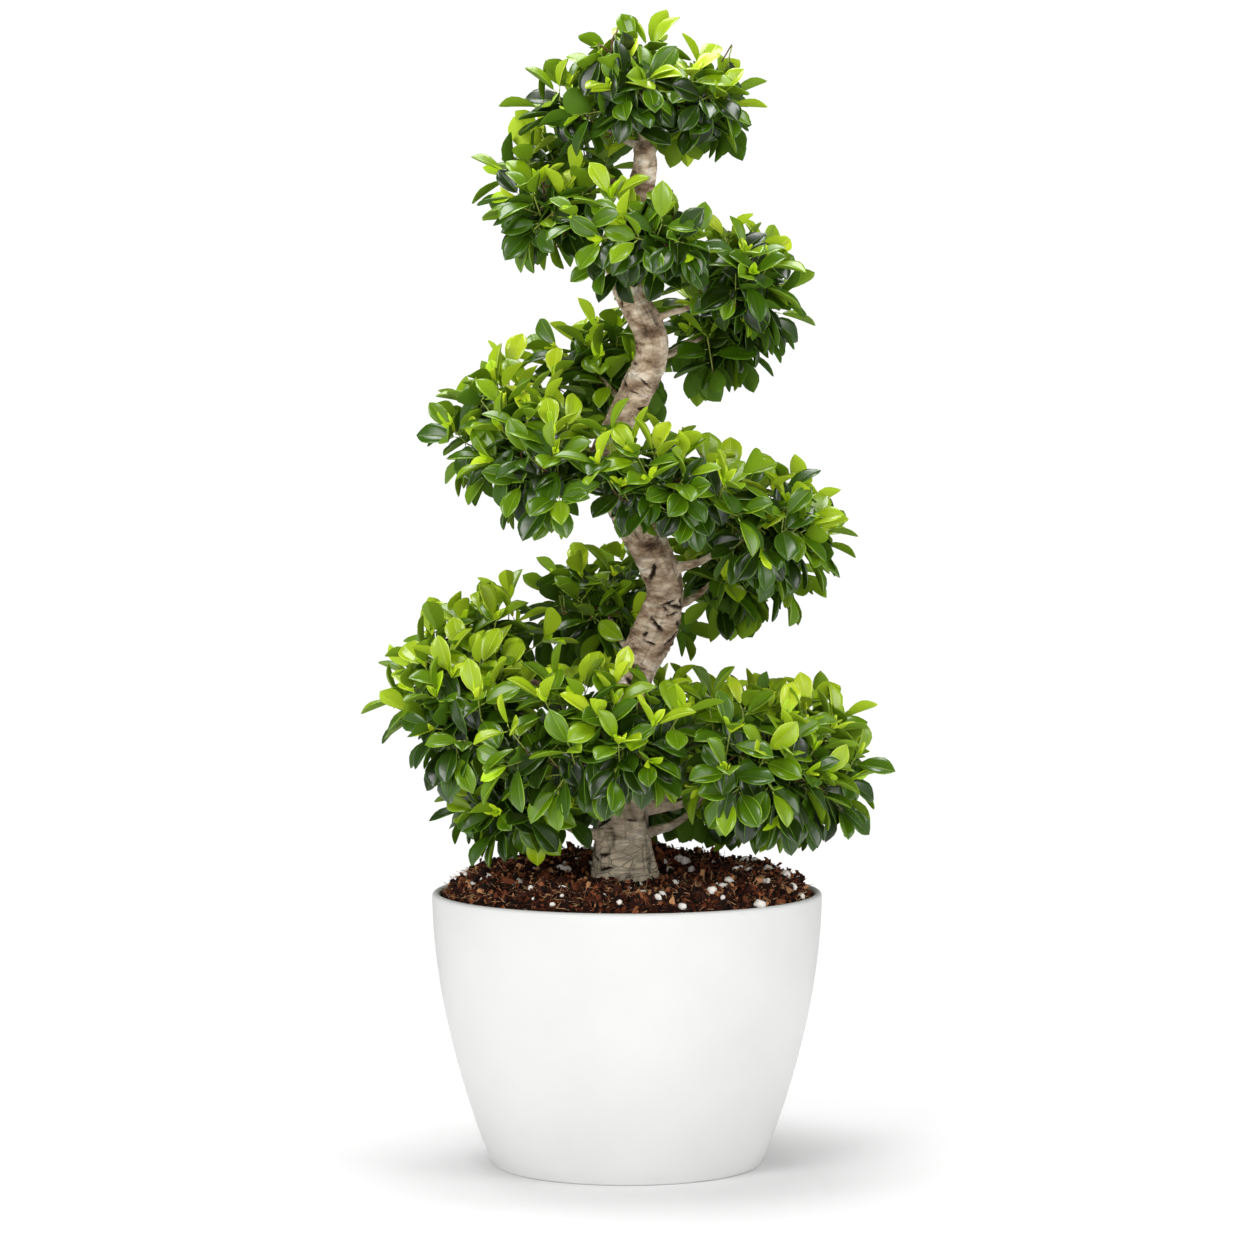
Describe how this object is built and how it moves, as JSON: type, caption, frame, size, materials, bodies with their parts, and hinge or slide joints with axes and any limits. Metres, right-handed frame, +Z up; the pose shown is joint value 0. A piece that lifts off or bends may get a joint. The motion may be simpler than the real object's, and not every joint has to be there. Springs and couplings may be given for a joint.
{
  "type": "potted spiral topiary ficus",
  "caption": "Spiral topiary ficus in a round white planter: clipped leafy masses wind left-handed up a snaking bare trunk to a leafy head.",
  "frame": {"origin": "centre of the planter's flat underside, on the surface it stands on", "axes": "+Z up along the planter's axis, -Y is the front of the plant, +X is to the right seen from the front"},
  "size_m": [0.5078, 0.5378, 1.1674],
  "materials": {
    "foliage": "glossy green leaves, paler underneath",
    "bark": "rough grey-brown bark",
    "bark_soil": "coarse bark and coir mix with white perlite",
    "white_glaze": "satin white glaze"
  },
  "bodies": {
    "root": {"bough_01": "bark", "bough_02": "bark", "bough_03": "bark", "bough_04": "bark", "bough_05": "bark", "bough_06": "bark", "bough_07": "bark", "bough_08": "bark", "bough_09": "bark", "bough_10": "bark", "bough_11": "bark", "bough_12": "bark", "bough_13": "bark", "bough_14": "bark", "bough_15": "bark", "bough_16": "bark", "bough_17": "bark", "bough_18": "bark", "bough_19": "bark", "bough_20": "bark", "bough_21": "bark", "bough_22": "bark", "bough_25": "bark", "bough_26": "bark", "leaf_mass_01": "foliage", "leaf_mass_02": "foliage", "leaf_mass_03": "foliage", "leaf_mass_04": "foliage", "leaf_mass_05": "foliage", "leaf_mass_06": "foliage", "leaf_mass_07": "foliage", "leaf_mass_08": "foliage", "leaf_mass_09": "foliage", "leaf_mass_10": "foliage", "leaf_mass_11": "foliage", "leaf_mass_12": "foliage", "leaf_mass_13": "foliage", "leaf_mass_14": "foliage", "leaf_mass_15": "foliage", "leaf_mass_16": "foliage", "leaf_mass_17": "foliage", "leaf_mass_18": "foliage", "leaf_mass_19": "foliage", "leaf_mass_20": "foliage", "leaf_mass_21": "foliage", "leaf_mass_22": "foliage", "leaf_mass_23": "foliage", "leaf_mass_24": "foliage", "leaf_mass_25": "foliage", "leaf_mass_26": "foliage", "leaf_mass_27": "foliage", "pot": "white_glaze", "soil": "bark_soil", "trunk": "bark"}
  },
  "joints": []
}
